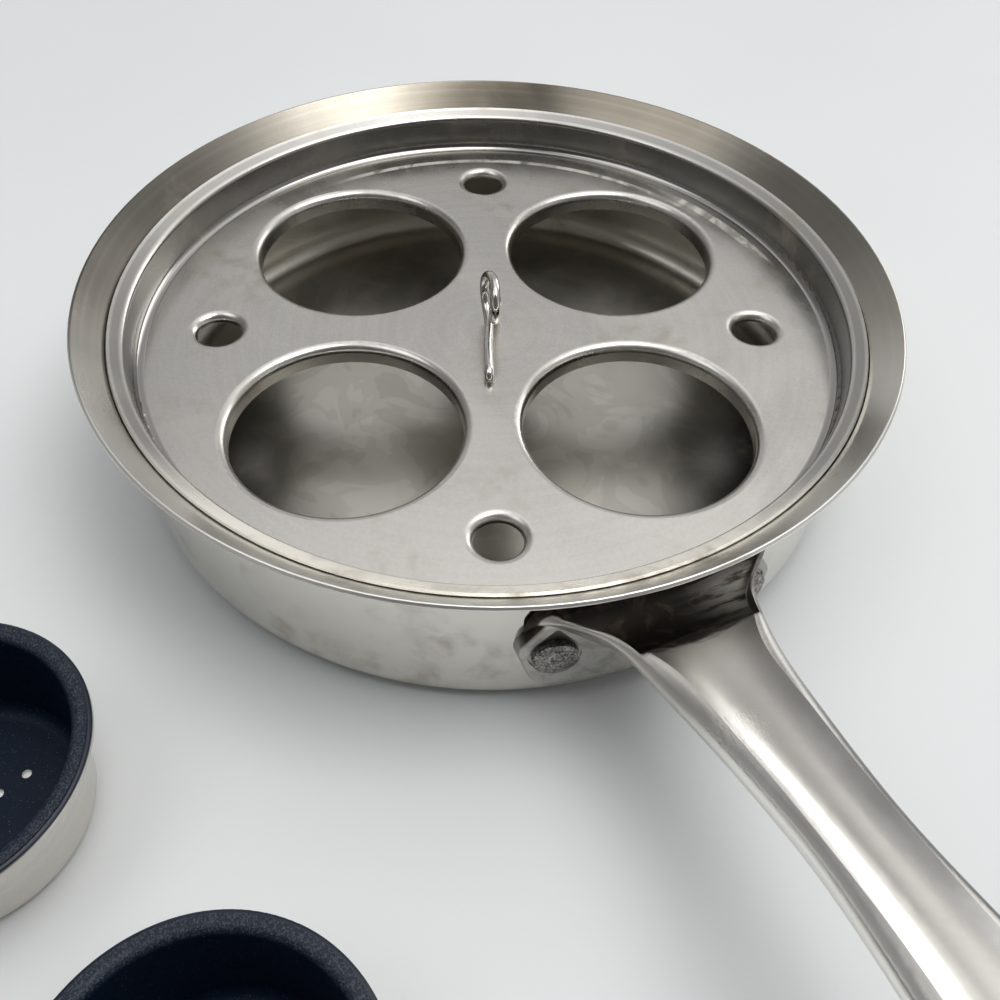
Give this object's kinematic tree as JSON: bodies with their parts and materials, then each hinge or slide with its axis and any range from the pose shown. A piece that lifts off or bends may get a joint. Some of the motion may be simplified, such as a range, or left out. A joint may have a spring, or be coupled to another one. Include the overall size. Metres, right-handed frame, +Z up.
{
  "type": "egg poacher pan",
  "caption": "Shallow steel saute pan with a flared rim and riveted handle, a drop-in egg poaching tray with a wire lifting loop, and loose non-stick egg cups.",
  "frame": {"origin": "centre of the pan's flat underside", "axes": "+Z up along the pan's axis, +X along the handle away from the pan, +Y to the left of the handle seen from its tip"},
  "size_m": [0.3978, 0.3431, 0.0682],
  "materials": {
    "pan_steel": "polished and used, with faint brushing round the axis",
    "handle_steel": "polished casting",
    "rivet_steel": "dull and pitted",
    "tray_steel": "satin",
    "wire_steel": "bright wire",
    "cup_steel": "polished",
    "cup_lining": "black flecked non-stick coating, low sheen"
  },
  "bodies": {
    "pan": {"pan_body": "pan_steel", "handle": "handle_steel", "rivet_left": "rivet_steel", "rivet_right": "rivet_steel"},
    "insert": {"insert_tray": "tray_steel", "lift_loop": "wire_steel"},
    "cup_1_body": {"cup_1": "cup_steel", "cup_1_lining": "cup_lining"},
    "cup_2_body": {"cup_2": "cup_steel", "cup_2_lining": "cup_lining"},
    "cup_3_body": {"cup_3": "cup_steel", "cup_3_lining": "cup_lining"},
    "cup_4_body": {"cup_4": "cup_steel", "cup_4_lining": "cup_lining"}
  },
  "joints": [
    {"name": "insert_lift", "type": "slide", "parent": "pan", "child": "insert", "axis": [0, 0, 1], "range_m": [0, 0.1]},
    {"name": "cup_1_lift", "type": "slide", "parent": "pan", "child": "cup_1_body", "axis": [0, 0, 1], "range_m": [0, 0.1]},
    {"name": "cup_2_lift", "type": "slide", "parent": "pan", "child": "cup_2_body", "axis": [0, 0, 1], "range_m": [0, 0.1]},
    {"name": "cup_3_lift", "type": "slide", "parent": "pan", "child": "cup_3_body", "axis": [0, 0, 1], "range_m": [0, 0.1]},
    {"name": "cup_4_lift", "type": "slide", "parent": "pan", "child": "cup_4_body", "axis": [0, 0, 1], "range_m": [0, 0.1]}
  ]
}
